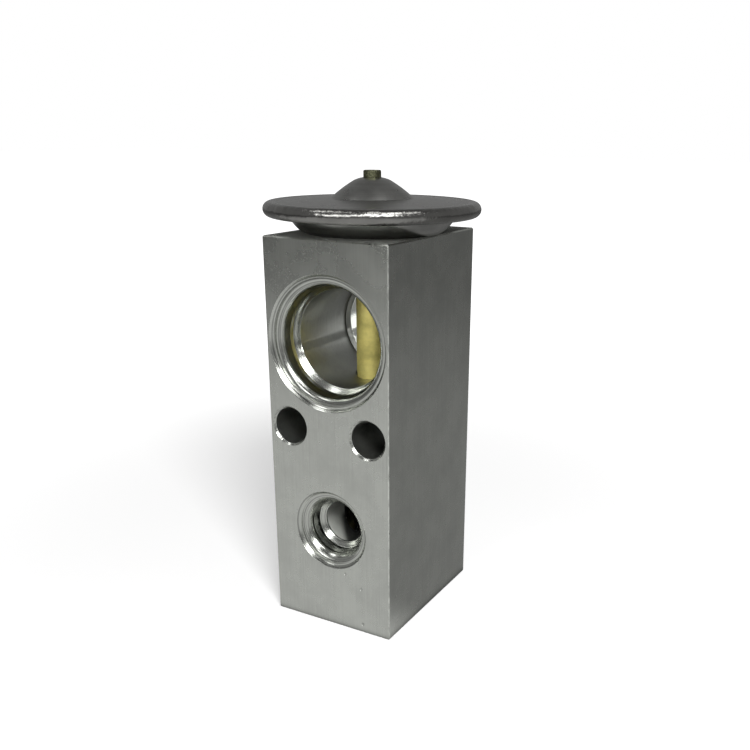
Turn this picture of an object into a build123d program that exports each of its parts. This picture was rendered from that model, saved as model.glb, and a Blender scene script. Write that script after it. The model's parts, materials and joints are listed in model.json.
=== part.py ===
# Block-type thermostatic expansion valve for a vehicle's air conditioner.
#
# Millimetres, +Z up. The origin is the centre of the block's bottom face. The valve's own
# axis is Z: the power head, the sensing rod, the push rod, the ball, its spring and the
# adjusting screw all lie on it. The front face, with the liquid inlet, looks along -Y.
# Refrigerant vapour crosses the wide upper passage along Y, and warms or cools the rod.
# The valve is drawn fully open, as it stands when it is warm and off the car.

import os
from math import cos, pi, radians, sin, sqrt, tan

from build123d import *

# Block: the heights stack up from the bottom face
inlet_height = 19.74            # bottom face to the liquid inlet's axis
outlet_above_inlet = 10.4       # inlet axis to the liquid outlet's axis, on the back
bolts_above_outlet = 8.8        # outlet axis to the two bolt holes
suction_above_bolts = 16.16     # bolt holes to the suction passage's axis
top_above_suction = 17.9        # suction axis to the block's top face
block_depth = 32.0              # front face to back face
side_land = 0.5                 # metal left beside the suction mouth
block_edge_radius = 0.3         # extruded corners of the block
block_end_chamfer = 0.25        # sawn ends of the block

# Suction port, the same on both faces
suction_radius = 9.04           # passage drilled from the front
suction_back_radius = 8.2       # passage drilled from the back
suction_meeting = 4.4           # how far past the middle the front drilling is full
suction_land_radius = 9.74      # short cylinder that guides the pipe's end
suction_cone_radius = 10.1      # wide end of the steep sealing cone
suction_ledge_radius = 11.35    # edge of the small step
suction_ledge_outer = 11.65     # foot of the mouth's chamfer
suction_mouth_radius = 12.2

# Liquid ports, inlet in front and outlet behind
liquid_radius = 4.17
liquid_land_radius = 5.12
liquid_cone_radius = 5.45
liquid_ledge_radius = 6.9
liquid_ledge_outer = 7.15
liquid_mouth_radius = 7.74
outlet_inner_radius = 3.8       # drilling from the outlet port to the valve's axis
drill_point_angle = 118

# Depths of each port's steps below the face
suction_depths = dict(chamfer=0.65, step=0.95, cone=1.85, taper=3.1, land=3.93, passage=5.15)
liquid_depths = dict(chamfer=0.55, step=0.8, cone=2.5, taper=3.4, land=4.05, passage=4.85)
suction_lead_bulge = 0.28       # rounding of the lead-in between step and cone
liquid_lead_bulge = 0.4

# Bolt holes, clearance for M6
bolt_hole_radius = 3.4
bolt_hole_chamfer = 0.35
bolt_hole_land = 1.02           # metal between a bolt hole and the block's side

# Power head
head_socket_depth = 7.0         # threaded socket in the block's top
neck_radius = 9.6
neck_wall = 1.4
neck_length = 6.4
thread_clearance = 0.05
head_seal_gap = 0.01            # seal ring to its three-sided groove
seal_groove_width = 2.3         # neck to the edge of the countersink that holds the seal ring
foot_land = 0.7                 # the skirt's foot outside the countersink
sheet = 1.1                     # covers' thickness
foot_thickness = 1.3            # lower cover's floor over the block
skirt_rise = 2.85               # block top to the underside of the rim
skirt_reach = 2.4               # how far the skirt widens over that rise
skirt_bulge = 0.32
dish_wall_step = 0.6            # inside of the skirt within its outside
rim_radius = 18.1               # edges of the stamped covers
rim_bevel = 0.8                 # melted corners of the two edges, under the weld
rim_bevel_height = 0.5
weld_radius = 1.3
weld_offset = 0.16              # centre of the weld's section outside the edges
weld_flank_rise = 0.03
diaphragm_thickness = 0.2
dome_radius = 7.4               # foot of the dome
dome_rise = 3.5
dome_bulge = 0.13               # of the steep flank
dome_wall_step = 0.55           # inside of the dome's foot within its outside
shoulder_radius = 3.3           # where the flank turns into the cap
shoulder_drop = 0.53            # shoulder below the dome's top
shoulder_step = 0.4             # inside of the shoulder within its outside
cap_bulge = 0.1
crown_rise = 0.66               # the cover's slope from the weld to the dome
crown_radius = 1.3              # flat on top of the dome
charge_hole_radius = 0.75
plug_radius = 1.6
plug_height = 1.2
plug_spigot = 1.4
plug_clearance = 0.03
plug_chamfer = 0.15

# Stop plate
plate_clearance = 0.4           # stop plate's edge to the lower cover's dish
plate_thickness = 1.4
plate_edge_round = 0.4
hub_wall = 1.8
hub_depth = 3.0
rod_socket_depth = 3.4

# Moving stem
rod_radius = 3.2
rod_clearance = 0.15            # rod in the partition's bore
bore_lead = 0.15                # chamfer of that bore in the passage's floor
rod_top_clearance = 0.6         # rod in the hole under the head
rod_fit = 0.03                  # rod in the stop plate's hub
rod_chamfer = 0.3
push_rod_radius = 1.2
push_rod_fit = 0.03             # push rod in the sensing rod and in its guide
push_rod_socket = 2.0
stroke = 0.8                    # fully open to closed
seat_gap = 0.03                 # ball to seat when closed
ball_radius = 2.5
ball_pocket_gap = 0.02

# Partition between the suction passage and the outlet
partition_bore_depth = 7.7
retainer_thickness = 0.4
retainer_gap = 0.5              # sensing rod to retainer when open
retainer_teeth = 6
retainer_fit = 0.03
seal_section = 1.0              # radius of the rod seal's section
seal_fit = 0.02                 # seal rings to what moves in them

# Orifice and valve chamber
web_over_orifice = 0.8          # metal between the orifice's pocket and the outlet
orifice_radius = 1.75
web_hole_margin = 0.35          # the block's hole above the orifice is this much wider
orifice_wall = 1.65
orifice_pocket = 1.4
orifice_stand = 0.8             # how far the seat stands into the chamber
orifice_fit = 0.02
seat_width = 0.6                # seat's 45 degree cone
chamber_radius = 6.4
carrier_radius = 4.4
carrier_height = 0.8
carrier_rise = 1.08             # carrier's top below the ball's centre
carrier_spigot_radius = 3.0
carrier_spigot = 1.5
pocket_floor_radius = 0.8

# Damper ring
finger_sheet = 0.3
finger_count = 8
finger_gap = 1.7
finger_height = 2.6
finger_clearance = 0.1
finger_bend = 0.65
finger_root = 4.9
spigot_fit = 0.05

# Spring and adjusting screw
wire_radius = 0.5
wire_sides = 8
spring_turns = 6
closed_turns = 1                # at each end
closed_gap = 0.04               # between a closed turn and the next
runs_per_turn = 16
spring_fit = 0.15               # inside of the spring round the two spigots
screw_recess = 0.6              # screw's face inside the bottom face
screw_thread_radius = 7.0
screw_thread_length = 5.0
screw_travel = 0.5              # half a turn of a 1 mm thread, each way
thread_runout = 0.3
screw_plug_length = 4.3
screw_plug_clearance = 0.1
screw_pilot = 1.2
screw_edge_chamfer = 0.4
groove_above_thread = 1.3
groove_width = 2.0
adjuster_seal_section = 0.78
hex_across_flats = 6.0
hex_depth = 4.0
bottom_chamfer = 0.5

# Worked out from the sizes above
outlet_height = inlet_height + outlet_above_inlet
bolt_height = outlet_height + bolts_above_outlet
suction_height = bolt_height + suction_above_bolts
block_height = suction_height + top_above_suction
half_width = suction_mouth_radius + side_land
half_depth = block_depth / 2
bolt_x = half_width - bolt_hole_land - bolt_hole_radius

countersink_radius = neck_radius + seal_groove_width
foot_radius = countersink_radius + foot_land
floor_top = block_height + foot_thickness
rim_bottom = block_height + skirt_rise
joint_plane = rim_bottom + sheet
cover_plane = joint_plane + diaphragm_thickness
plateau = cover_plane + sheet
weld_height = (rim_bottom + plateau) / 2
dome_foot = plateau + crown_rise
dome_top = dome_foot + dome_rise
skirt_radius = foot_radius + skirt_reach
dish_radius = foot_radius - dish_wall_step
clamp_radius = skirt_radius - dish_wall_step

plate_radius = dish_radius - plate_clearance
plate_top = floor_top + plate_thickness
hub_radius = rod_radius + rod_fit + hub_wall
hub_bottom = floor_top - hub_depth
rod_top = hub_bottom + rod_socket_depth

passage_floor = suction_height - suction_radius
partition_radius = rod_radius + rod_clearance
seal_floor = passage_floor - partition_bore_depth
retainer_bottom = seal_floor + 2 * (seal_section + seal_fit) + seal_fit
rod_bottom = retainer_bottom + retainer_thickness + retainer_gap
push_rod_top = rod_bottom + push_rod_socket - push_rod_fit

pocket_top = outlet_height - outlet_inner_radius - web_over_orifice
chamber_top = pocket_top - orifice_pocket
seat_bottom = chamber_top - orifice_stand
orifice_outer = orifice_radius + orifice_wall
# a ball on a 45 degree cone touches it at its radius over the root of two
ball_touch = ball_radius / sqrt(2)
seat_rim = orifice_radius + seat_width
ball_centre = seat_bottom + (seat_rim - ball_touch) - ball_touch - seat_gap * sqrt(2) - stroke
carrier_top = ball_centre - carrier_rise
carrier_bottom = carrier_top - carrier_height
spring_top = carrier_bottom - finger_sheet
spring_mean = carrier_spigot_radius + spring_fit + wire_radius

thread_top = screw_recess + screw_thread_length
screw_top = thread_top + screw_plug_length
screw_plug_radius = chamber_radius - screw_plug_clearance
thread_end = thread_top + screw_travel + thread_runout
groove_bottom = thread_top + groove_above_thread
spring_length = spring_top - screw_top
adjuster_seal_mean = chamber_radius - seal_fit - adjuster_seal_section
groove_radius = adjuster_seal_mean - adjuster_seal_section - seal_fit


def turned(*edges):
    """A solid of revolution about Z from edges in the XZ plane that close a section."""
    section = make_face(Wire(list(edges)))
    return revolve(section, Axis.Z, 360)


def at(radius, height):
    return Vector(radius, 0, height)


def chain(*points):
    """Straight edges through (radius, height) points."""
    spots = [at(*p) for p in points]
    return [Line(a, b).edge() for a, b in zip(spots, spots[1:])]


def bow(start, end, rise):
    """An arc between two (radius, height) points, which bulges to the right of its way by its rise."""
    a, b = at(*start), at(*end)
    right = Vector((b - a).Z, 0, -(b - a).X).normalized()
    return ThreePointArc(a, (a + b) * 0.5 + right * rise, b).edge()


def lathe(*points):
    """A turned solid whose section is a closed polygon of (radius, height) points."""
    return turned(*chain(*points, points[0]))


def disc(radius, bottom, top):
    return Pos(0, 0, bottom) * Cylinder(radius, top - bottom, align=(Align.CENTER, Align.CENTER, Align.MIN))


def ring(mean_radius, section_radius, height):
    return Pos(0, 0, height) * Torus(mean_radius, section_radius)


def along_y(solid, x, height, side):
    """Turns a tool made on Z, its mouth at z = 0 and its depth along +Z, into a face of the block."""
    turn = Rot(-90, 0, 0) if side < 0 else Rot(90, 0, 0)
    return Pos(x, side * half_depth, height) * turn * solid


def port_tool(mouth, ledge_outer, ledge, cone, land, passage, depths, bulge):
    """The form tool's shape: chamfer, step, rounded lead-in, steep cone, guiding land, last chamfer."""
    step_foot = (ledge, depths["step"])
    cone_mouth = (cone, depths["cone"])
    return turned(
        *chain((0, depths["passage"]), (0, -1), (mouth, -1), (mouth, 0), (ledge_outer, depths["chamfer"]),
               (ledge, depths["chamfer"]), step_foot),
        bow(step_foot, cone_mouth, -bulge),
        *chain(cone_mouth, (land, depths["taper"]), (land, depths["land"]), (passage, depths["passage"]),
               (0, depths["passage"])),
    )


def drilling(radius, start, depth):
    """A drilled hole down to a full-width depth, with its point below."""
    point = radius / tan(radians(drill_point_angle / 2))
    return lathe((0, start), (radius, start), (radius, depth), (0, depth + point))


def bolt_hole(x):
    hole = Pos(x, 0, bolt_height) * Rot(90, 0, 0) * Cylinder(bolt_hole_radius, block_depth + 2)
    rim = bolt_hole_radius + bolt_hole_chamfer
    mouth = lathe((0, -1), (rim, -1), (rim, 0), (bolt_hole_radius, bolt_hole_chamfer), (0, bolt_hole_chamfer))
    return hole + along_y(mouth, x, bolt_height, -1) + along_y(mouth, x, bolt_height, 1)


def suction_cut(side, radius, depth):
    port = port_tool(suction_mouth_radius, suction_ledge_outer, suction_ledge_radius, suction_cone_radius,
                     suction_land_radius, radius, suction_depths, suction_lead_bulge)
    port += drilling(radius, suction_depths["land"], depth)
    return along_y(port, 0, suction_height, side)


def liquid_cut(height, side, inner_radius, depth):
    port = port_tool(liquid_mouth_radius, liquid_ledge_outer, liquid_ledge_radius, liquid_cone_radius,
                     liquid_land_radius, liquid_radius, liquid_depths, liquid_lead_bulge)
    port += drilling(inner_radius, liquid_depths["land"], depth)
    return along_y(port, 0, height, side)


def valve_bore():
    """Everything that is bored on the valve's axis, from the top face to the bottom face."""
    socket = neck_radius + thread_clearance
    rod_hole = rod_radius + rod_top_clearance
    upper = lathe(
        (0, block_height + 1), (countersink_radius, block_height + 1), (countersink_radius, block_height),
        (socket, block_height - seal_groove_width + thread_clearance), (socket, block_height - head_socket_depth),
        (rod_hole, block_height - head_socket_depth), (rod_hole, suction_height), (0, suction_height),
    )
    middle = lathe(
        (0, suction_height), (partition_radius + bore_lead, suction_height),
        (partition_radius + bore_lead, passage_floor), (partition_radius, passage_floor - bore_lead),
        (partition_radius, seal_floor), (push_rod_radius + push_rod_fit, seal_floor),
        (push_rod_radius + push_rod_fit, outlet_height), (0, outlet_height),
    )
    web_hole = orifice_radius + web_hole_margin
    lower = lathe(
        (0, outlet_height), (web_hole, outlet_height), (web_hole, pocket_top),
        (orifice_outer + orifice_fit, pocket_top), (orifice_outer + orifice_fit, chamber_top),
        (chamber_radius, chamber_top), (chamber_radius, thread_end),
        (screw_thread_radius + thread_clearance, thread_end),
        (screw_thread_radius + thread_clearance, bottom_chamfer),
        (screw_thread_radius + thread_clearance + bottom_chamfer, 0),
        (screw_thread_radius + thread_clearance + bottom_chamfer, -1), (0, -1),
    )
    return upper + middle + lower


def body_block():
    blank = Box(2 * half_width, block_depth, block_height, align=(Align.CENTER, Align.CENTER, Align.MIN))
    blank = fillet(blank.edges().filter_by(Axis.Z), block_edge_radius)
    ends = blank.faces().filter_by(Axis.Z).edges()
    blank = chamfer(ends, block_end_chamfer)
    blank -= suction_cut(-1, suction_radius, half_depth + suction_meeting)
    blank -= suction_cut(1, suction_back_radius, half_depth - suction_meeting)
    blank -= liquid_cut(inlet_height, -1, liquid_radius, half_depth - chamber_radius / 2)
    blank -= liquid_cut(outlet_height, 1, outlet_inner_radius, half_depth + push_rod_radius)
    blank -= bolt_hole(-bolt_x)
    blank -= bolt_hole(bolt_x)
    return blank - valve_bore()


def lower_cover():
    """Stamped dish and skirt on a threaded neck that screws into the block."""
    neck_bottom = block_height - neck_length
    neck_bore = neck_radius - neck_wall
    return turned(
        *chain((dish_radius, floor_top), (neck_bore, floor_top), (neck_bore, neck_bottom),
               (neck_radius, neck_bottom), (neck_radius, block_height), (foot_radius, block_height)),
        bow((foot_radius, block_height), (skirt_radius, rim_bottom), skirt_bulge),
        *chain((skirt_radius, rim_bottom), (rim_radius - rim_bevel, rim_bottom),
               (rim_radius, rim_bottom + rim_bevel_height), (rim_radius, joint_plane),
               (clamp_radius, joint_plane)),
        bow((clamp_radius, joint_plane), (dish_radius, floor_top), -skirt_bulge),
    )


def upper_cover():
    """Stamped cover: flat clamping rim, shallow crown and a dome with the charging hole."""
    cap = (crown_radius, dome_top)
    shoulder = (shoulder_radius, dome_top - shoulder_drop)
    foot = (dome_radius, dome_foot)
    inner_foot = (dome_radius - dome_wall_step, dome_foot - sheet)
    inner_shoulder = (shoulder_radius - shoulder_step, dome_top - shoulder_drop - sheet)
    inner_top = dome_top - sheet
    inner_cap = (crown_radius - shoulder_step / 2, inner_top)
    return turned(
        *chain((charge_hole_radius, inner_top), (charge_hole_radius, dome_top), cap),
        bow(cap, shoulder, -cap_bulge),
        bow(shoulder, foot, -dome_bulge),
        *chain(foot, (rim_radius - rim_bevel, plateau), (rim_radius, plateau - rim_bevel_height),
               (rim_radius, cover_plane), (clamp_radius, cover_plane), inner_foot),
        bow(inner_foot, inner_shoulder, dome_bulge),
        bow(inner_shoulder, inner_cap, cap_bulge),
        *chain(inner_cap, (charge_hole_radius, inner_top)),
    )


def rim_weld():
    """The rolled bead that closes the edges of both covers and the diaphragm."""
    centre = rim_radius + weld_offset
    inner = rim_radius - rim_bevel
    top = weld_height + weld_radius
    bottom = weld_height - weld_radius
    return turned(
        *chain((inner, rim_bottom), (rim_radius, rim_bottom + rim_bevel_height),
               (rim_radius, plateau - rim_bevel_height), (inner, plateau)),
        bow((inner, plateau), (centre, top), -weld_flank_rise),
        bow((centre, top), (centre, bottom), -weld_radius),
        bow((centre, bottom), (inner, rim_bottom), -weld_flank_rise),
    )


def diaphragm():
    """A thin disc, clamped at its rim and pushed down on the stop plate, with one corrugation."""
    t = diaphragm_thickness
    low = plate_top
    high = joint_plane
    wave = (clamp_radius - plate_radius) / 4
    under = [(0, low), (plate_radius - wave, low), (plate_radius + wave, low + 0.3 * (high - low)),
             (clamp_radius - wave, high - 0.05), (clamp_radius, high), (rim_radius, high)]
    over = [(r, z + t) for r, z in reversed(under)]
    return lathe(*under, *over)


def stop_plate():
    """The disc under the diaphragm, with a hub that takes the sensing rod's end."""
    bore = rod_radius + rod_fit
    return lathe(
        (0, plate_top), (plate_radius - plate_edge_round, plate_top),
        (plate_radius, plate_top - plate_edge_round), (plate_radius, floor_top),
        (hub_radius, floor_top), (hub_radius, hub_bottom), (bore, hub_bottom), (bore, rod_top), (0, rod_top),
    )


def charge_plug():
    spigot = charge_hole_radius - plug_clearance
    top = dome_top + plug_height
    return lathe(
        (0, dome_top - plug_spigot), (spigot, dome_top - plug_spigot), (spigot, dome_top),
        (plug_radius, dome_top), (plug_radius, top - plug_chamfer), (plug_radius - plug_chamfer, top), (0, top),
    )


def head_seal_ring():
    """Fills the three-sided groove between neck, skirt foot and countersink."""
    section = seal_groove_width * (2 - sqrt(2)) / 2 - head_seal_gap
    centre = section + head_seal_gap
    return ring(neck_radius + centre, section, block_height - centre)


def sensing_rod():
    socket = push_rod_radius + push_rod_fit
    end = rod_radius - rod_chamfer
    return lathe(
        (0, rod_top), (end, rod_top), (rod_radius, rod_top - rod_chamfer),
        (rod_radius, rod_bottom + rod_chamfer), (end, rod_bottom),
        (socket, rod_bottom), (socket, push_rod_top), (0, push_rod_top),
    )


def rod_retainer():
    """A push-on washer whose teeth grip the partition's bore above the seal ring."""
    top = retainer_bottom + retainer_thickness
    outer = partition_radius - retainer_fit
    washer = disc(outer, retainer_bottom, top) - disc(push_rod_radius + rod_chamfer, retainer_bottom, top)
    notch_depth = (outer - push_rod_radius) / 3
    notch = Pos(outer, 0, retainer_bottom) * Box(2 * notch_depth, notch_depth, retainer_thickness,
                                                align=(Align.CENTER, Align.CENTER, Align.MIN))
    for tooth in range(retainer_teeth):
        washer -= Rot(0, 0, tooth * 360 / retainer_teeth) * notch
    return washer


def rod_seal_ring():
    mean = push_rod_radius + seal_fit + seal_section
    return ring(mean, seal_section, seal_floor + seal_fit + seal_section)


def push_rod():
    return disc(push_rod_radius, ball_centre + ball_radius, push_rod_top)


def orifice_seat():
    """The pressed-in ring with the metering hole and the ball's conical seat."""
    return lathe(
        (orifice_radius, seat_bottom + seat_width), (seat_rim, seat_bottom), (orifice_outer, seat_bottom),
        (orifice_outer, pocket_top), (seat_rim, pocket_top), (orifice_radius, pocket_top - seat_width),
    )


def valve_ball():
    return Pos(0, 0, ball_centre) * Sphere(ball_radius)


def ball_carrier():
    """A turned cup: the ball lies in its cone, the spring goes round its spigot."""
    cone_apex = ball_centre - ball_radius * sqrt(2) - ball_pocket_gap * sqrt(2)
    mouth = carrier_top - cone_apex
    return lathe(
        (0, cone_apex + pocket_floor_radius), (pocket_floor_radius, cone_apex + pocket_floor_radius),
        (mouth, carrier_top), (carrier_radius, carrier_top), (carrier_radius, carrier_bottom),
        (carrier_spigot_radius, carrier_bottom), (carrier_spigot_radius, carrier_bottom - carrier_spigot),
        (0, carrier_bottom - carrier_spigot),
    )


def damper_ring():
    """A washer with upright fingers that rub the chamber's wall and keep the ball from chattering."""
    t = finger_sheet
    outer = chamber_radius - finger_clearance
    inner = outer - t
    low = spring_top
    high = low + finger_height
    crown = lathe(
        (carrier_spigot_radius + spigot_fit, low), (outer - finger_bend, low), (outer, low + finger_bend),
        (outer, high), (inner, high), (inner, low + t + finger_bend), (inner - finger_bend, low + t),
        (carrier_spigot_radius + spigot_fit, low + t),
    )
    length = outer - finger_root + 1
    slot = Pos(finger_root + length / 2, 0, low) * Box(length, finger_gap, finger_height,
                                                       align=(Align.CENTER, Align.CENTER, Align.MIN))
    for finger in range(finger_count):
        crown -= Rot(0, 0, (finger + 0.5) * 360 / finger_count) * slot
    return crown


def spring_rise(turn):
    """The height of the wire's centre after so many turns: closed end turns, open ones between."""
    closed_rise = closed_turns * (2 * wire_radius + closed_gap)
    open_turns = spring_turns - 2 * closed_turns
    if turn <= closed_turns:
        return closed_rise * turn / closed_turns
    if turn >= spring_turns - closed_turns:
        return spring_length - closed_rise * (spring_turns - turn) / closed_turns
    return closed_rise + (spring_length - 2 * closed_rise) * (turn - closed_turns) / open_turns


def valve_spring():
    """A coil spring of mitred straight runs, with closed ends that are ground flat."""
    spots = []
    for run in range(spring_turns * runs_per_turn + 1):
        turn = run / runs_per_turn
        angle = 2 * pi * turn
        spots.append((spring_mean * cos(angle), spring_mean * sin(angle), screw_top + spring_rise(turn)))
    path = Polyline(*spots)
    section = Plane(origin=path @ 0, z_dir=path % 0) * RegularPolygon(wire_radius, wire_sides)
    coil = sweep(section, path=path, transition=Transition.RIGHT)
    return coil & disc(spring_mean + 2 * wire_radius, screw_top, spring_top)


def adjusting_screw():
    """A plug with a short thread, a groove for its seal ring and a pilot for the spring."""
    c = screw_edge_chamfer
    thread = screw_thread_radius
    groove_top = groove_bottom + groove_width
    plug = screw_plug_radius
    turned_part = lathe(
        (0, screw_recess), (thread - c, screw_recess), (thread, screw_recess + c), (thread, thread_top - c),
        (thread - c, thread_top), (plug, thread_top), (plug, groove_bottom), (groove_radius, groove_bottom),
        (groove_radius, groove_top), (plug, groove_top), (plug, screw_top - c), (plug - c, screw_top),
        (carrier_spigot_radius, screw_top), (carrier_spigot_radius, screw_top + screw_pilot - c),
        (carrier_spigot_radius - c, screw_top + screw_pilot), (0, screw_top + screw_pilot),
    )
    hexagon = RegularPolygon(hex_across_flats / 2, 6, major_radius=False)
    socket = Pos(0, 0, screw_recess) * extrude(hexagon, hex_depth)
    return turned_part - socket


def adjuster_seal_ring():
    return ring(adjuster_seal_mean, adjuster_seal_section, groove_bottom + groove_width / 2)


pieces = dict(
    body_block=body_block,
    upper_cover=upper_cover,
    lower_cover=lower_cover,
    rim_weld=rim_weld,
    charge_plug=charge_plug,
    diaphragm=diaphragm,
    stop_plate=stop_plate,
    head_seal_ring=head_seal_ring,
    sensing_rod=sensing_rod,
    rod_retainer=rod_retainer,
    rod_seal_ring=rod_seal_ring,
    push_rod=push_rod,
    orifice_seat=orifice_seat,
    valve_ball=valve_ball,
    ball_carrier=ball_carrier,
    damper_ring=damper_ring,
    valve_spring=valve_spring,
    adjusting_screw=adjusting_screw,
    adjuster_seal_ring=adjuster_seal_ring,
)

os.makedirs("parts", exist_ok=True)
for name, make in pieces.items():
    solid = make()
    export_step(solid, f"parts/{name}.step")
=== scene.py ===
# %% [markdown]
# # A block-type expansion valve
#
# This valve meters the refrigerant of a car's air conditioner. A drawn aluminium block holds
# everything: the wide passage lets the cold vapour past a brass rod that feels its temperature,
# and the rod pushes a ball off its seat in the small passage below. On top sits the power head,
# two stamped steel covers welded together at their rim.
#
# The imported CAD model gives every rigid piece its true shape, and MuJoCo moves those same
# pieces. So we load it first and never change it. What we add here is what CAD leaves out: the
# finish of each metal, the round wire of the spring, the rings of the diaphragm, and the light
# that shows them.

# %% Load the frame
import json
from math import cos, pi, radians, sin

import bmesh
import bpy
from mathutils import Matrix, Vector


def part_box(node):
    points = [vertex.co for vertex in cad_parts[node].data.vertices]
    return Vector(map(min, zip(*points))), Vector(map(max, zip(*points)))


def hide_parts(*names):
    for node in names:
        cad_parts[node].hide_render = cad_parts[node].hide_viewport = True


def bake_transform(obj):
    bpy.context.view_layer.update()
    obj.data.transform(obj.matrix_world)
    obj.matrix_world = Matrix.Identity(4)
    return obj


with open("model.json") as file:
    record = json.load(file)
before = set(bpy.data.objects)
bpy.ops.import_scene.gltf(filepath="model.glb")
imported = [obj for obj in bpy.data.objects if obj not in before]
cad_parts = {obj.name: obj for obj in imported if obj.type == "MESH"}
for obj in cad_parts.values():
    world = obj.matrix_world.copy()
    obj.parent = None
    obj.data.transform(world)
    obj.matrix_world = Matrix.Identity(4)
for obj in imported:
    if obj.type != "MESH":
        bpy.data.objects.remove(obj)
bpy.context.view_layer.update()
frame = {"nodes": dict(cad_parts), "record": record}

# %% [markdown]
# ## Where things are
#
# A piece or a finish that is placed by typed numbers drifts away from the model as soon as
# somebody changes the model. We read the places from the frame instead: boxes of nodes, and the
# mounts of the record, which say where each port's axis is. Everything is in metres.

# %% Read the places of the block and its ports
mounts = {mount["name"]: mount for mount in frame["record"]["mounts"]}
millimetre = 0.001

block_low, block_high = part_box("body_block")
suction_height = mounts["suction_port_front"]["pos_m"][2]
inlet_height = mounts["liquid_inlet"]["pos_m"][2]
outlet_height = mounts["liquid_outlet"]["pos_m"][2]
bolt_height = mounts["bolt_holes"]["pos_m"][2]
bolt_x = mounts["bolt_holes"]["dims"]["spacing_x_mm"] / 2 * millimetre
bolt_radius = mounts["bolt_holes"]["dims"]["hole_r_mm"] * millimetre
print(f"suction axis at {suction_height * 1000:.2f} mm, inlet at {inlet_height * 1000:.2f} mm")

# %% [markdown]
# ## A few short words for nodes
#
# A finish is a small network of nodes, and written out one by one such networks are long and
# hard to read. One helper makes a node, sets it and wires it in a single line, and a few more
# name what we need over and over: arithmetic, a weighted sum, a soft step, a choice and a noise.

# %% Helpers that make and wire nodes
def add(tree, kind, inputs=None, **settings):
    """A new node. Inputs are numbers, colours or other nodes' sockets, by name or by place."""
    node = tree.nodes.new(kind)
    for name, value in settings.items():
        setattr(node, name, value)
    for name, value in (inputs or {}).items():
        if isinstance(value, bpy.types.NodeSocket):
            tree.links.new(value, node.inputs[name])
        else:
            node.inputs[name].default_value = value
    return node


def calc(tree, operation, first, second=0.0, third=0.0):
    node = add(tree, "ShaderNodeMath", {0: first, 1: second, 2: third}, operation=operation)
    return node.outputs[0]


def weighted(tree, start, *parts):
    """The start plus each value times its weight."""
    total = start
    for value, weight in parts:
        total = calc(tree, "MULTIPLY_ADD", value, weight, total)
    return total


def step_between(tree, value, low, high, from_value=0.0, to_value=1.0):
    """Turns smoothly from one number to another while the value goes from low to high."""
    inputs = {"Value": value, "From Min": low, "From Max": high, "To Min": from_value, "To Max": to_value}
    node = add(tree, "ShaderNodeMapRange", inputs, interpolation_type="SMOOTHSTEP", clamp=True)
    return node.outputs["Result"]


def choose(tree, mask, elsewhere, inside):
    """One number where the mask is 0 and another where it is 1."""
    inputs = {"Factor": mask, "A": elsewhere, "B": inside}
    return add(tree, "ShaderNodeMix", inputs).outputs["Result"]


def noise(tree, vector, scale, detail=3.0, roughness=0.5):
    inputs = {"Vector": vector, "Scale": scale, "Detail": detail, "Roughness": roughness}
    return add(tree, "ShaderNodeTexNoise", inputs).outputs["Fac"]


def stretched(tree, vector, scale):
    return add(tree, "ShaderNodeMapping", {"Vector": vector, "Scale": scale}).outputs["Vector"]


print("node helpers ready")

# %% [markdown]
# ## The start of every metal
#
# Each metal here is a Principled shader with its Metallic at 1, so its base colour is what it
# reflects. What tells cast, drawn, turned and polished metal apart is not the colour but the
# way small marks scatter the light, so every finish gets its own marks on the roughness and in
# a bump. Object coordinates fix the marks to the piece: they ride along when it moves.

# %% Start a metal
def start_metal(name, color, roughness):
    material = bpy.data.materials.new(name)
    material.use_nodes = True
    tree = material.node_tree
    shader = tree.nodes["Principled BSDF"]
    shader.inputs["Metallic"].default_value = 1.0
    shader.inputs["Base Color"].default_value = (*color, 1.0)
    shader.inputs["Roughness"].default_value = roughness
    place = add(tree, "ShaderNodeTexCoord").outputs["Object"]
    return material, tree, shader, place


def tint(tree, shader, color, amount, shade):
    """Wires the base colour: the metal's colour, darker by the amount where the shade is 0.

    The mix isn't clamped, so a shade over 1 is brighter than the colour and one under 0 darker still.
    """
    dark = tuple(channel * (1 - amount) for channel in color)
    mix = add(tree, "ShaderNodeMix", {"Factor": shade}, data_type="RGBA", clamp_factor=False)
    mix.inputs["A"].default_value = (*dark, 1.0)
    mix.inputs["B"].default_value = (*color, 1.0)
    tree.links.new(mix.outputs["Result"], shader.inputs["Base Color"])


def bump(tree, shader, height, distance):
    node = add(tree, "ShaderNodeBump", {"Height": height, "Distance": distance, "Strength": 1.0})
    tree.links.new(node.outputs["Normal"], shader.inputs["Normal"])


def give(material, *nodes):
    """CAD nodes take the material in their first slot."""
    for name in nodes:
        frame["nodes"][name].material_slots[0].material = material


print("metal helpers ready")

# %% [markdown]
# ## The aluminium block
#
# The block is sawn from a drawn bar, its ports are turned with a form tool, and its passages
# are drilled. All of that is one CAD node with one material. We could split the node into
# pieces, but the solid must stay as it is, so the finish finds out by itself where it is: it
# compares the place of each point with the ports' axes.
#
# The answer is a mask, a number that is 1 inside a region and 0 outside it. Masks combine as
# regions do: the product of two is where both are, and the larger of two is where either is.

# %% Masks
def distance_from(tree, spot, x, height):
    """How far a point is from the axis along Y at that x and height."""
    flat = add(tree, "ShaderNodeCombineXYZ", {0: spot["X"], 2: spot["Z"]}).outputs[0]
    axis = (x, 0.0, height)
    return add(tree, "ShaderNodeVectorMath", {0: flat, 1: axis}, operation="DISTANCE").outputs["Value"]


def below(tree, value, limit):
    return calc(tree, "LESS_THAN", value, limit)


def above(tree, value, limit):
    return calc(tree, "GREATER_THAN", value, limit)


def all_of(tree, first, *others):
    """Where every mask is 1. A mask that is only partly 1 weakens the others."""
    result = first
    for mask in others:
        result = calc(tree, "MULTIPLY", result, mask)
    return result


def any_of(tree, first, *others):
    """Where at least one mask is 1."""
    result = first
    for mask in others:
        result = calc(tree, "MAXIMUM", result, mask)
    return result


def outside(tree, mask):
    return calc(tree, "SUBTRACT", 1.0, mask)


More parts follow.
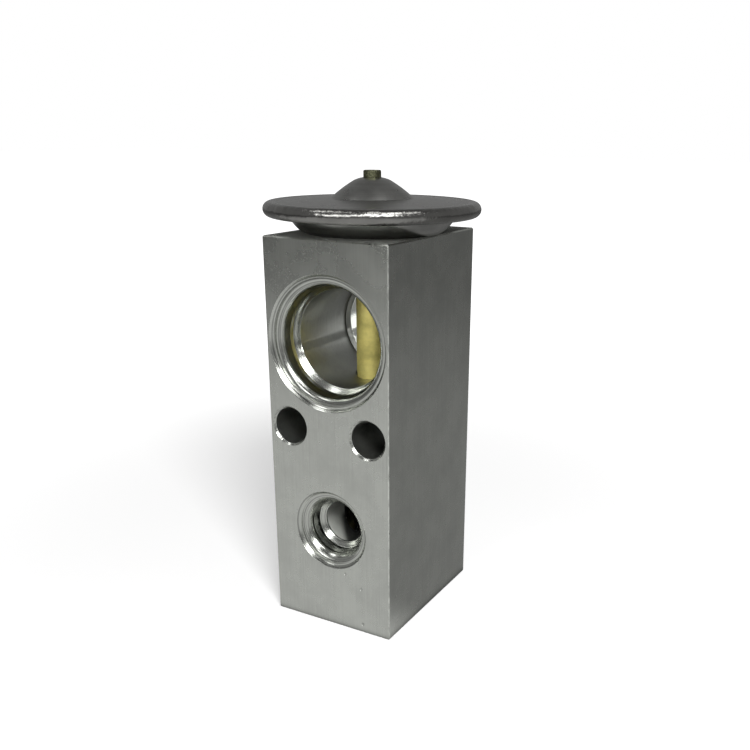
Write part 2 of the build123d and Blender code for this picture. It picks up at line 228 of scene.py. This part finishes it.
print("mask helpers ready")

# %% [markdown]
# ### The ports
#
# A port is a round region about its axis, as wide as its widest ring. The liquid inlet is on
# the front face and the liquid outlet on the back, so the half of the block that a point is in
# tells those two apart. The two bolt holes and the suction passage go right through.

# %% Find the ports
suction_mouth = 0.01222
liquid_mouth = 0.00776
hole_mouth = bolt_radius * 1.12

aluminium = (0.56, 0.575, 0.535)
material, tree, shader, place = start_metal("drawn_and_turned_aluminium", aluminium, 0.34)
spot = add(tree, "ShaderNodeSeparateXYZ", {0: place}).outputs
behind = above(tree, spot["Y"], 0.0)

suction_radius = distance_from(tree, spot, 0.0, suction_height)
inlet_radius = distance_from(tree, spot, 0.0, inlet_height)
outlet_radius = distance_from(tree, spot, 0.0, outlet_height)
left_radius = distance_from(tree, spot, -bolt_x, bolt_height)
right_radius = distance_from(tree, spot, bolt_x, bolt_height)
hole_radius = calc(tree, "MINIMUM", left_radius, right_radius)

suction = below(tree, suction_radius, suction_mouth)
inlet = all_of(tree, below(tree, inlet_radius, liquid_mouth), outside(tree, behind))
outlet = all_of(tree, below(tree, outlet_radius, liquid_mouth), behind)
turned = any_of(tree, suction, inlet, outlet, below(tree, hole_radius, hole_mouth))
print("radius of the mouths in metres:", suction_mouth, liquid_mouth, round(hole_mouth, 5))

# %% [markdown]
# ### The steps and walls of a port
#
# Going in from the face, a port has turned steps and then the drilled wall of its passage. The
# steps are bright, and the cone of a liquid port is darker. All drilled walls are painted darker
# too, as painted shade deep in the block. The walls of the liquid passages are matt as well, but
# the two bolt holes keep most of their shine: they look black in the photograph, and a matt wall
# would catch the light. Behind the rod the suction passage narrows at a shoulder painted dark as
# painted shade, and beyond it the wall is painted bright, a painted highlight for the light from
# behind. The depth under the nearer face tells all of these apart.

# %% Find the steps and the walls
# depths under the face
steps_end = 0.00515
cone_start = 0.0025
cone_end = 0.00405
# places along Y, and the radius of the passage beyond the shoulder
shoulder_start = 0.00435
shoulder_end = 0.0053
narrow_radius = 0.00823
# small margins that take in a surface, and the share of its shine that a bolt hole keeps
wall_margin = 1.01
saw_margin = 0.00002
hole_shine = 0.88

under_face = calc(tree, "SUBTRACT", block_high.y, calc(tree, "ABSOLUTE", spot["Y"]))
hole_wall = below(tree, hole_radius, bolt_radius * wall_margin)
# drilled walls: rougher, and painted darker in the shade below as painted shade deep in the block
drilled_and_shaded = any_of(tree, all_of(tree, turned, above(tree, under_face, steps_end)), hole_wall)
dull = all_of(tree, drilled_and_shaded, outside(tree, suction), weighted(tree, 1.0, (hole_wall, -hole_shine)))
in_cone = all_of(tree, above(tree, under_face, cone_start), below(tree, under_face, cone_end))
cone = all_of(tree, in_cone, any_of(tree, inlet, outlet))

# the shoulder is painted dark as painted shade, and the wall past it bright as a painted highlight
past_shoulder = all_of(tree, suction, above(tree, spot["Y"], shoulder_start))
painted_bright_sliver = all_of(tree, past_shoulder, below(tree, suction_radius, narrow_radius))
on_shoulder = all_of(tree, past_shoulder, below(tree, spot["Y"], shoulder_end))
shoulder_painted_dark = all_of(tree, on_shoulder, above(tree, suction_radius, narrow_radius))
# the top face: rough from the saw, and painted darker below as painted shade under the head
sawn_and_shaded_top = above(tree, spot["Z"], block_high.z - saw_margin)
print("turned steps are", steps_end, "m deep")

# %% [markdown]
# ### Painted light and shadow in the liquid inlet
#
# The photograph shows the inlet's wall bright low on the left and black beyond a slanting line,
# where the bore opens into a slanting drilling in shadow. Both are painted into the colour: the
# low wall is painted brighter as painted light, and the black is a painted shadow. Its edge is a
# soft step over a sum of X and Y, and it stays low in the passage.

# %% Find where the inlet's wall gets painted light and painted shadow
painted_shadow_slant = 1.2
painted_shadow_edge = (-0.0119, -0.0097)
painted_shadow_top = (inlet_height - 0.002, inlet_height - 0.0005)
painted_light_top = (inlet_height - 0.0015, inlet_height + 0.0015)

slant = weighted(tree, 0.0, (spot["X"], painted_shadow_slant), (spot["Y"], 1.0))
under_painted_shadow_top = step_between(tree, spot["Z"], *painted_shadow_top, 1.0, 0.0)
# painted shadow: the wall beyond the slanting edge, low in the passage, is painted black
painted_shadow_mask = all_of(tree, step_between(tree, slant, *painted_shadow_edge), under_painted_shadow_top)
under_painted_light_top = step_between(tree, spot["Z"], *painted_light_top, 1.0, 0.0)
# painted light: the low wall of the inlet is painted brighter, except under the painted shadow
painted_light = all_of(tree, dull, inlet, calc(tree, "SUBTRACT", under_painted_light_top, painted_shadow_mask))
painted_shadow_wall = all_of(tree, dull, inlet, painted_shadow_mask)
print(f"painted_shadow up to {painted_shadow_top[1] * 1000:.2f} mm, rubbed up to {painted_light_top[1] * 1000:.2f} mm")

# %% [markdown]
# ### Marks of the die and of the bin
#
# The die leaves faint lines along the bar: a noise that is stretched along Z. The bin that the
# blocks fell into leaves pits and worn corners. Cells of a Voronoi texture make the pits, and
# most of them are dropped by their random colour, so that the pits are rare. Three dents low on
# the front are large enough to be listed one by one.

# %% Marks on the drawn faces
# x, height and radius of each dent
dents = [(0.0031, 0.0115, 0.0003), (0.0066, 0.0092, 0.00035), (0.0069, 0.0018, 0.00035)]
corner_width = 0.00022
face_margin = 0.0001
pit_rarity = 0.62

die_lines = noise(tree, stretched(tree, place, (1.0, 1.0, 0.012)), 3800.0, 4.0, 0.6)
cloud = noise(tree, place, 160.0, 5.0, 0.6)
grain = noise(tree, place, 5200.0, 2.0)
cells = add(tree, "ShaderNodeTexVoronoi", {"Vector": place, "Scale": 210.0, "Randomness": 1.0}).outputs
cell_number = add(tree, "ShaderNodeSeparateColor", {0: cells["Color"]}).outputs[0]
pit = step_between(tree, cells["Distance"], 0.03, 0.06, 1.0, 0.0)
pit = all_of(tree, pit, above(tree, cell_number, pit_rarity), outside(tree, turned))
front_face = below(tree, spot["Y"], block_low.y + face_margin)
for x, height, radius in dents:
    dent = step_between(tree, distance_from(tree, spot, x, height), radius * 0.5, radius, 1.0, 0.0)
    pit = any_of(tree, pit, all_of(tree, dent, front_face))

from_side = calc(tree, "SUBTRACT", block_high.x, calc(tree, "ABSOLUTE", spot["X"]))
from_corner = calc(tree, "ADD", from_side, under_face)
scuffs = noise(tree, stretched(tree, place, (1.0, 1.0, 0.25)), 2600.0, 2.0)
worn = all_of(tree, below(tree, from_corner, corner_width), step_between(tree, scuffs, 0.42, 0.6))
print("dents placed by hand:", len(dents))

# %% [markdown]
# ### Marks of the turning tool
#
# A turning tool leaves rings. A noise that reads only the distance from the port's axis and the
# depth is the same all the way round, so it makes rings: fine and wide grooves for the bump,
# and a few dark ones for the colour.
#
# In the photograph the last step of the suction port catches the light low down, as if it
# leaned a little, and in the solid it is a plain cylinder. A height that grows with the depth
# leans the surface's normal in the same way.

# %% Marks in the ports
lean = 0.3
lean_start = 0.00393
lean_top = (suction_height - 0.0035, suction_height - 0.0015)

liquid_radius = choose(tree, behind, inlet_radius, outlet_radius)
port_radius = choose(tree, suction, liquid_radius, suction_radius)
port_section = add(tree, "ShaderNodeCombineXYZ", {0: port_radius, 1: spot["Y"]}).outputs[0]
fine_grooves = noise(tree, port_section, 8000.0, 3.0, 0.6)
wide_grooves = noise(tree, port_section, 2600.0, 1.0)
tool_rings = step_between(tree, noise(tree, port_section, 4200.0, 1.0), 0.5, 0.62)
tool_rings = all_of(tree, tool_rings, calc(tree, "SUBTRACT", turned, drilled_and_shaded), outside(tree, cone))

last_step = {"Value": under_face, "Min": lean_start, "Max": steps_end}
step_depth = add(tree, "ShaderNodeClamp", last_step).outputs[0]
step_depth = calc(tree, "SUBTRACT", step_depth, lean_start)
low_down = step_between(tree, spot["Z"], *lean_top, 1.0, 0.0)
leaning = calc(tree, "MULTIPLY", all_of(tree, suction, low_down), step_depth)
print("the last step leans by", lean)

# %% [markdown]
# ### The block's colour, roughness and bump
#
# A plain face has a shade between 0.75 and 1, from its lines and clouds. Every mask then adds
# its weight: one under 0 darkens its region and one over 0 brightens it. Several of the weights
# are painted shade and painted light: the top face, the drilled walls, the shoulder and the black
# beyond the inlet's slanting edge are painted darker, and the wall past the shoulder and the low
# wall of the inlet are painted brighter. The matt walls lose some Metallic too, because a torn
# and dusty surface scatters light more as stone does.
#
# The drawn faces and the ports get a roughness and a bump of their own, and the mask of the
# ports chooses between them. The heights are in metres, so the bump's distance is 1: a line of
# the die is at most 7 thousandths of a millimetre high, and a pit is ten times as deep.

# %% Wire the block's finish
pattern = step_between(tree, weighted(tree, 0.0, (die_lines, 0.35), (cloud, 0.65)), 0.3, 0.7)
pattern = all_of(tree, pattern, outside(tree, pit))
shade = weighted(
    tree, 0.75, (pattern, 0.25),
    # painted shade on the top face under the head; worn corners are lighter
    (sawn_and_shaded_top, -0.4), (worn, 0.5),
    # painted shade on the drilled walls; the tool's rings and the liquid ports' cones are darker
    (tool_rings, -0.55), (drilled_and_shaded, -0.5), (cone, -0.5),
    # painted shade on the shoulder, and a painted highlight on the narrow wall beyond it
    (shoulder_painted_dark, -0.35), (painted_bright_sliver, 1.1),
    # painted light low in the inlet, and painted shadow beyond its slanting edge
    (painted_light, 0.8), (painted_shadow_wall, -0.65),
)
tint(tree, shader, aluminium, 0.7, shade)
tree.links.new(weighted(tree, 1.0, (dull, -0.6)), shader.inputs["Metallic"])

drawn_roughness = weighted(tree, 0.22, (cloud, 0.10), (sawn_and_shaded_top, 0.4))
turned_roughness = weighted(tree, 0.2, (drilled_and_shaded, 0.16), (dull, 0.22), (painted_bright_sliver, -0.2))
tree.links.new(choose(tree, turned, drawn_roughness, turned_roughness), shader.inputs["Roughness"])

drawn_height = weighted(tree, 0.0, (die_lines, 0.0000072), (grain, 0.0000048), (pit, -0.000072))
groove_depth = weighted(tree, 0.00006, (drilled_and_shaded, -0.00004), (cone, -0.00005))
wide_height = calc(tree, "MULTIPLY", calc(tree, "SUBTRACT", wide_grooves, 0.5), groove_depth)
turned_height = weighted(tree, wide_height, (fine_grooves, 0.000014), (leaning, lean))
bump(tree, shader, choose(tree, turned, drawn_height, turned_height), 1.0)
give(material, "body_block")
print("block:", material.name, len(tree.nodes), "nodes")

# %% [markdown]
# ## The steel head
#
# Both covers are pressed from sheet, which leaves them satin with faint rings from the lathe
# that trims them. Rings about the valve's own axis come from a noise that reads the distance
# from that axis and the height.

# %% The covers
def distance_from_axis(tree, spot):
    """How far a point is from the valve's own axis."""
    flat = add(tree, "ShaderNodeCombineXYZ", {0: spot["X"], 1: spot["Y"]}).outputs[0]
    return add(tree, "ShaderNodeVectorMath", {0: flat}, operation="LENGTH").outputs["Value"]


steel = (0.36, 0.36, 0.345)
material, tree, shader, place = start_metal("pressed_steel", steel, 0.3)
spot = add(tree, "ShaderNodeSeparateXYZ", {0: place}).outputs
head_section = add(tree, "ShaderNodeCombineXYZ", {0: distance_from_axis(tree, spot), 2: spot["Z"]}).outputs[0]
trim_rings = noise(tree, head_section, 2600.0, 3.0, 0.6)
cloud = noise(tree, place, 260.0, 4.0, 0.6)
shade = weighted(tree, 0.0, (cloud, 0.5), (trim_rings, 0.5))
tint(tree, shader, steel, 0.22, step_between(tree, shade, 0.35, 0.6))
tree.links.new(weighted(tree, 0.24, (cloud, 0.1)), shader.inputs["Roughness"])
bump(tree, shader, trim_rings, 0.000008)
give(material, "upper_cover", "lower_cover")
print("covers:", material.name)

# %% [markdown]
# ### The weld bead
#
# The bead is steel that has melted and set again: smooth and shiny, a little warm in colour.
# The pool froze step by step as it went round, which left small ripples on wide, low waves. Two
# noises of very different scale make them, and both are bump, because they are finer than any
# mesh would need to be.

# %% The bead
bead_steel = (0.26, 0.257, 0.245)
material, tree, shader, place = start_metal("melted_steel", bead_steel, 0.16)
ripples = noise(tree, stretched(tree, place, (1.0, 1.0, 0.6)), 1100.0, 4.0, 0.65)
waves = noise(tree, place, 220.0, 2.0)
tint(tree, shader, bead_steel, 0.18, step_between(tree, waves, 0.3, 0.7))
tree.links.new(weighted(tree, 0.12, (ripples, 0.12)), shader.inputs["Roughness"])
bump(tree, shader, weighted(tree, 0.0, (ripples, 0.25), (waves, 1.0)), 0.0004)
give(material, "rim_weld")
print("bead:", material.name)

# %% [markdown]
# ## Brass
#
# The sensing rod is turned brass, dull and yellow. The charge plug is the same metal, given a
# dark olive colour that is painted shade for the dim room it mirrors. The seat and the adjusting
# screw, deep in the block, are bright turned brass. One function makes all three, with its
# colour, its roughness and the size of its tarnish as arguments.

# %% Brass finishes
def brass(name, color, low, high, spots):
    """Turned brass: rings round Z, and spots of tarnish that dull it."""
    material, tree, shader, place = start_metal(name, color, low)
    tarnish = noise(tree, place, spots, 4.0, 0.6)
    tool_marks = noise(tree, stretched(tree, place, (0.02, 0.02, 1.0)), 6000.0, 2.0)
    tint(tree, shader, color, 0.25, step_between(tree, tarnish, 0.3, 0.65))
    tree.links.new(step_between(tree, tarnish, 0.3, 0.7, high, low), shader.inputs["Roughness"])
    bump(tree, shader, tool_marks, 0.000006)
    return material


give(brass("turned_brass", (0.88, 0.79, 0.30), 0.6, 0.75, 260.0), "sensing_rod")
# the plug's dark olive colour is painted shade for the dim room it mirrors
give(brass("brass_painted_dark", (0.16, 0.165, 0.10), 0.4, 0.6, 1400.0), "charge_plug")
give(brass("machined_brass", (0.70, 0.60, 0.35), 0.25, 0.38, 260.0), "orifice_seat", "adjusting_screw")
print("brass given to 4 nodes")

# %% [markdown]
# ## What works inside
#
# The pieces inside are plain machined or drawn steel, a polished ball and black rubber rings.
# Little of them shows through the ports, so their finishes stay simple: one noise each, on the
# colour, the roughness and the bump.

# %% Inner steel and the ball
def plain_steel(name, color, roughness, mark_height):
    material, tree, shader, place = start_metal(name, color, roughness)
    marks = noise(tree, place, 2400.0, 3.0)
    tint(tree, shader, color, 0.12, marks)
    duller = roughness * 1.3
    shinier = roughness * 0.8
    tree.links.new(step_between(tree, marks, 0.3, 0.7, duller, shinier), shader.inputs["Roughness"])
    bump(tree, shader, marks, mark_height)
    return material


give(plain_steel("machined_steel", (0.55, 0.55, 0.54), 0.3, 0.000008),
     "diaphragm", "stop_plate", "rod_retainer", "push_rod", "ball_carrier")
give(plain_steel("drawn_steel", (0.50, 0.50, 0.49), 0.28, 0.000006), "damper_ring", "valve_spring")
give(plain_steel("polished_steel", (0.75, 0.75, 0.75), 0.08, 0.000001), "valve_ball")
print("inner steel given to 8 nodes")

# %% [markdown]
# ### Rubber
#
# The seal rings are black rubber. It isn't a metal, so it starts from the plain shader, and a
# bloom of fine dust makes its gloss uneven.

# %% Rubber
rubber = bpy.data.materials.new("black_rubber")
rubber.use_nodes = True
tree = rubber.node_tree
shader = tree.nodes["Principled BSDF"]
shader.inputs["Base Color"].default_value = (0.03, 0.03, 0.03, 1.0)
place = add(tree, "ShaderNodeTexCoord").outputs["Object"]
bloom = noise(tree, place, 1800.0, 4.0)
tree.links.new(step_between(tree, bloom, 0.3, 0.7, 0.42, 0.6), shader.inputs["Roughness"])
bump(tree, shader, bloom, 0.000004)
give(rubber, "head_seal_ring", "rod_seal_ring", "adjuster_seal_ring")
print("rubber given to 3 nodes")

# %% [markdown]
# ## The spring
#
# The CAD spring is a chain of straight runs with a wire of eight sides. Ours is round: a circle
# spun about Z, which climbs a little at every step. The first and last turns are closed, so they
# climb only a wire's thickness, and both ends are ground flat.
#
# Its foot stands on the adjusting screw, which travels, and its head holds up the stem, which
# travels too. A piece can blend between two bodies only, so we wind the spring as two pieces
# that meet in the middle.

# %% Measure the spring
spring_low, spring_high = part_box("valve_spring")
wire_radius = 0.0005
coil_radius = 0.00365
closed_rise = 0.00104
spring_middle = (spring_low.z + spring_high.z) / 2
closed_turn = (1, closed_rise)
open_turns = (2, spring_middle - spring_low.z - closed_rise)
turn_count = 2 * (closed_turn[0] + open_turns[0])
print(f"spring: {(spring_high.z - spring_low.z) * 1000:.2f} mm long, {turn_count} turns")

# %% [markdown]
# ### Winding the wire
#
# The spin operator carries a circle round in steps and leaves a tube behind it. What it returns
# as its last ring is the start of the next run, so a run with another climb joins on with no
# gap. A plane then cuts each end flat, and the holes are filled, so that the mesh is closed.

# %% Wind the spring
wire_sides = 20
steps_per_turn = 48


def wind(name, start, runs):
    """Round wire wound about Z from the start height. A run is its turns and its climb."""
    shape = bmesh.new()
    upright = Matrix.Translation((coil_radius, 0.0, start)) @ Matrix.Rotation(radians(90), 4, "X")
    bmesh.ops.create_circle(shape, cap_ends=True, segments=wire_sides, radius=wire_radius, matrix=upright)
    end = [*shape.verts, *shape.edges]
    for turns, rise in runs:
        steps = turns * steps_per_turn
        spun = bmesh.ops.spin(shape, geom=end, cent=(0, 0, 0), axis=(0, 0, 1), dvec=(0, 0, rise / steps),
                              angle=2 * pi * turns, steps=steps)
        end = spun["geom_last"]
    last_ring = [edge for edge in end if isinstance(edge, bmesh.types.BMEdge)]
    bmesh.ops.contextual_create(shape, geom=last_ring)
    for level, outward in ((spring_low.z, -1), (spring_high.z, 1)):
        everything = [*shape.verts, *shape.edges, *shape.faces]
        bmesh.ops.bisect_plane(shape, geom=everything, dist=1e-7, plane_co=(0, 0, level),
                               plane_no=(0, 0, outward), clear_outer=True)
        bmesh.ops.holes_fill(shape, edges=[edge for edge in shape.edges if edge.is_boundary])
    bmesh.ops.recalc_face_normals(shape, faces=shape.faces)
    for face in shape.faces:
        face.smooth = len(face.verts) == 4
    open_edges = sum(edge.is_boundary for edge in shape.edges)
    mesh = bpy.data.meshes.new(name)
    shape.to_mesh(mesh)
    shape.free()
    mesh.materials.append(frame["nodes"]["valve_spring"].material_slots[0].material)
    piece = bpy.data.objects.new(name, mesh)
    bpy.context.scene.collection.objects.link(piece)
    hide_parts("valve_spring")
    print(name, len(mesh.polygons), "faces,", open_edges, "open edges")
    return piece


foot = wind("spring_foot", spring_low.z, (closed_turn, open_turns))
head = wind("spring_head", spring_middle, (open_turns, closed_turn))
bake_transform(foot)
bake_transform(head)

# %% [markdown]
# ## The diaphragm
#
# A real diaphragm is a thin sheet with rings pressed into it, which let its middle rise and fall.
# First we draw its section, from the middle outwards. It falls from the rim's height to the
# plate's along a smooth curve, and the pressed rings are a sine that fades out at both ends.

# %% Draw the diaphragm's section
sheet_low, sheet_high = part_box("diaphragm")
thickness = 0.0002
rim_radius = sheet_high.x
flat_radius = 0.0112
clamp_radius = 0.0144
rim_level = sheet_high.z - thickness
centre_level = sheet_low.z
wave_count = 2
wave_height = 0.00012
points = 24

under_side = [(0.0, centre_level), (flat_radius, centre_level)]
for point in range(1, points):
    part = point / points
    rise = part * part * (3 - 2 * part)
    wave = wave_height * sin(2 * pi * wave_count * part) * sin(pi * part)
    radius = flat_radius + (clamp_radius - flat_radius) * part
    under_side.append((radius, centre_level + (rim_level - centre_level) * rise + wave))
under_side += [(clamp_radius, rim_level), (rim_radius, rim_level)]
print("section of", len(under_side), "points")

# %% [markdown]
# ### Pressing it round
#
# The section and the same section a sheet's thickness higher are joined at the rim and spun all the
# way round. Its rim is welded to the covers and its middle rests on the stop plate.

# %% Press the diaphragm
steps_round = 96

diaphragm_mesh = bpy.data.meshes.new("wavy_diaphragm")
shape = bmesh.new()
outline = [shape.verts.new((radius, 0.0, z)) for radius, z in under_side]
outline += [shape.verts.new((radius, 0.0, z + thickness)) for radius, z in reversed(under_side)]
edges = [shape.edges.new(pair) for pair in zip(outline, outline[1:])]
bmesh.ops.spin(shape, geom=[*outline, *edges], cent=(0, 0, 0), axis=(0, 0, 1), angle=2 * pi,
               steps=steps_round, use_merge=True)
bmesh.ops.remove_doubles(shape, verts=shape.verts, dist=1e-7)
bmesh.ops.recalc_face_normals(shape, faces=shape.faces)
for face in shape.faces:
    face.smooth = True
open_edges = sum(edge.is_boundary for edge in shape.edges)
shape.to_mesh(diaphragm_mesh)
shape.free()
diaphragm = bpy.data.objects.new("wavy_diaphragm", diaphragm_mesh)
bpy.context.scene.collection.objects.link(diaphragm)
diaphragm_mesh.materials.append(frame["nodes"]["diaphragm"].material_slots[0].material)
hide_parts("diaphragm")
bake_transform(diaphragm)
print("diaphragm:", len(diaphragm_mesh.polygons), "faces,", open_edges, "open edges")

# %% [markdown]
# ## The floor
#
# The photograph is cut out on white. A floor that is bright enough to look white would light
# the valve far too much, so white is given to the camera's rays only, through Light Path. The
# floor adds a part of its own light to what the lamps give it, and so it keeps a soft shadow.

# %% Make the floor
floor_half = 3.0
floor_mesh = bpy.data.meshes.new("floor")
shape = bmesh.new()
bmesh.ops.create_grid(shape, x_segments=1, y_segments=1, size=floor_half)
shape.to_mesh(floor_mesh)
shape.free()
floor = bpy.data.objects.new("floor", floor_mesh)
bpy.context.scene.collection.objects.link(floor)

floor_white = bpy.data.materials.new("pale_table")
floor_white.use_nodes = True
floor_mesh.materials.append(floor_white)
tree = floor_white.node_tree
tree.nodes.clear()
place = add(tree, "ShaderNodeTexCoord").outputs["Object"]
spot = add(tree, "ShaderNodeSeparateXYZ", {0: place}).outputs
away = distance_from_axis(tree, spot)
rays = add(tree, "ShaderNodeLightPath").outputs
seen = any_of(tree, rays["Is Camera Ray"], rays["Is Transmission Ray"])
own_light = calc(tree, "MULTIPLY", seen, step_between(tree, away, 0.05, 0.30, 0.42, 1.0))
matt = add(tree, "ShaderNodeBsdfDiffuse", {"Color": (0.8, 0.8, 0.8, 1.0)})
glow = add(tree, "ShaderNodeEmission", {"Strength": own_light})
seen_floor = add(tree, "ShaderNodeAddShader", {0: matt.outputs[0], 1: glow.outputs[0]})
print("floor:", floor_half * 2, "m wide")

# %% [markdown]
# ### What the metal mirrors in the floor
#
# Metal needs something to mirror. Rays that bounce off it see the floor glow with a painted pool
# of light, as a table under a lamp is lit: bright in front of the valve, dimmer far away, to the
# left and behind it, and with a painted shadow where the block stands on it.

# %% The pool of light
front_pool = step_between(tree, away, 0.2, 0.5, 0.70, 0.45)
dimmer_left = step_between(tree, spot["X"], -0.27, -0.09, 0.25, 1.0)
front_pool = calc(tree, "MULTIPLY", front_pool, dimmer_left)
back_pool = step_between(tree, away, 0.08, 0.46, 0.27, 0.14)
pool = choose(tree, step_between(tree, spot["Y"], -0.02, 0.0), front_pool, back_pool)
beside_x = calc(tree, "SUBTRACT", calc(tree, "ABSOLUTE", spot["X"]), block_high.x)
beside_y = calc(tree, "SUBTRACT", calc(tree, "ABSOLUTE", spot["Y"]), block_high.y)
beside = calc(tree, "MAXIMUM", beside_x, beside_y)
# painted shadow on the floor where the block stands on it
painted_contact_shadow = step_between(tree, beside, -0.0005, 0.0015, 0.15, 1.0)
mirrored = add(tree, "ShaderNodeEmission", {"Strength": calc(tree, "MULTIPLY", pool, painted_contact_shadow)})
two_floors = {0: rays["Is Glossy Ray"], 1: seen_floor.outputs[0], 2: mirrored.outputs[0]}
floor_shader = add(tree, "ShaderNodeMixShader", two_floors)
add(tree, "ShaderNodeOutputMaterial", {"Surface": floor_shader.outputs[0]})
print("floor finish:", len(tree.nodes), "nodes")

# %% [markdown]
# ## The room
#
# The highlights on the bead and on the rings of the ports are mirrored windows and lamps. Area
# lamps could make them, but they would light the floor as well. So the room's own light holds a
# few soft bright patches that only rays off metal see. Each is a direction, and the closer a
# ray comes to it, the brighter it gets. The rest of the room is dim, most of all overhead, and
# the camera itself sees plain white.

# %% The room
def way_of(azimuth, elevation):
    """A direction from two angles in degrees: azimuth from +X towards +Y, and height over the horizon."""
    flat = cos(radians(elevation))
    return (flat * cos(radians(azimuth)), flat * sin(radians(azimuth)), sin(radians(elevation)))


# the way to each bright patch, its inner and outer angle, and its strength
bright_patches = [
    ((-45, 39), 5, 15, 14.0),
    ((-100, 22), 4, 13, 7.0),
    ((-70, 27), 4, 13, 7.0),
    ((-20, 66), 5, 15, 7.0),
    ((-140, 60), 4, 11, 4.0),
]

world = bpy.data.worlds.new("pale_room")
bpy.context.scene.world = world
world.use_nodes = True
tree = world.node_tree
tree.nodes.clear()
direction = add(tree, "ShaderNodeTexCoord").outputs["Generated"]
upward = add(tree, "ShaderNodeSeparateXYZ", {0: direction}).outputs["Z"]
rays = add(tree, "ShaderNodeLightPath").outputs
level = step_between(tree, upward, 0.5, 1.05, 0.28, 0.16)
for way, inner, outer, strength in bright_patches:
    sight = {0: direction, 1: way_of(*way)}
    toward = add(tree, "ShaderNodeVectorMath", sight, operation="DOT_PRODUCT").outputs["Value"]
    glare = step_between(tree, toward, cos(radians(outer)), cos(radians(inner)), 0.0, strength)
    level = calc(tree, "MULTIPLY_ADD", glare, rays["Is Glossy Ray"], level)
room = add(tree, "ShaderNodeBackground", {"Color": (1.0, 1.0, 1.0, 1.0), "Strength": level})
white = add(tree, "ShaderNodeBackground", {"Color": (1.0, 1.0, 1.0, 1.0), "Strength": 1.0})
seen = any_of(tree, rays["Is Camera Ray"], rays["Is Transmission Ray"])
room_shader = add(tree, "ShaderNodeMixShader", {0: seen, 1: room.outputs[0], 2: white.outputs[0]})
add(tree, "ShaderNodeOutputWorld", {"Surface": room_shader.outputs[0]})
print("room with", len(bright_patches), "bright patches")

# %% [markdown]
# ## Lamps
#
# The key lamp stands high on the right in front of the valve. It lights the floor, throws the
# soft shadow to the left and shapes the matt surfaces. It is hidden from rays off metal, because
# the room's patches already stand for what those see.
#
# A tiny lamp hangs behind the suction port. Through the port the photograph shows a sliver of
# the passage's wall beside the rod, lit by daylight from behind, and this lamp stands for that
# daylight. It would show as a disc from behind, so the camera doesn't see it.

# %% Place the lamps
def lamp(name, way, distance, size, power, aim):
    data = bpy.data.lights.new(name, "AREA")
    data.shape = "DISK"
    data.size = size
    data.energy = power
    light = bpy.data.objects.new(name, data)
    bpy.context.scene.collection.objects.link(light)
    back = Vector(way).normalized()
    turn = back.to_track_quat("Z", "Y").to_matrix().to_4x4()
    light.matrix_world = Matrix.Translation(aim + back * distance) @ turn
    return light


middle = Vector((0.0, 0.0, (block_low.z + block_high.z) / 2))
key = lamp("key_lamp", (0.55, -0.55, 0.63), distance=0.6, size=0.22, power=3.2, aim=middle)
key.visible_glossy = False

rear_wall = Vector((-0.008, 0.0052, suction_height - 0.001))
port_lamp = lamp("port_lamp", (0.54, 0.84, -0.02), distance=0.024, size=0.011, power=0.0004, aim=rear_wall)
port_lamp.visible_camera = False

# %% [markdown]
# ## The camera
#
# The photograph was taken from close by, so its lines converge. The place, the turn and the
# lens below come from fitting a pinhole camera to the block's corners and the ports' rings. The
# picture was cropped off-centre, which is what the two shifts stand for.

# %% Place the camera
camera_place = Vector((0.08466, -0.13833, 0.09024))
camera_turn = radians(28.552)
camera_tilt = radians(19.571)
camera_roll = radians(0.515)

camera_data = bpy.data.cameras.new("photograph")
camera_data.sensor_width = 36.0
camera_data.lens = 41.915
camera_data.shift_x = -0.0551
camera_data.shift_y = 0.0881
camera_data.clip_start = 0.01
camera_data.clip_end = 20.0
camera = bpy.data.objects.new("photograph", camera_data)
turn = Matrix.Rotation(camera_turn, 4, "Z") @ Matrix.Rotation(radians(90) - camera_tilt, 4, "X")
camera.matrix_world = Matrix.Translation(camera_place) @ turn @ Matrix.Rotation(camera_roll, 4, "Z")
bpy.context.scene.collection.objects.link(camera)
bpy.context.scene.camera = camera
bpy.context.scene.view_settings.view_transform = "Standard"
print("camera at", tuple(round(c, 4) for c in camera_place))

# %% Finish
print("scene built")
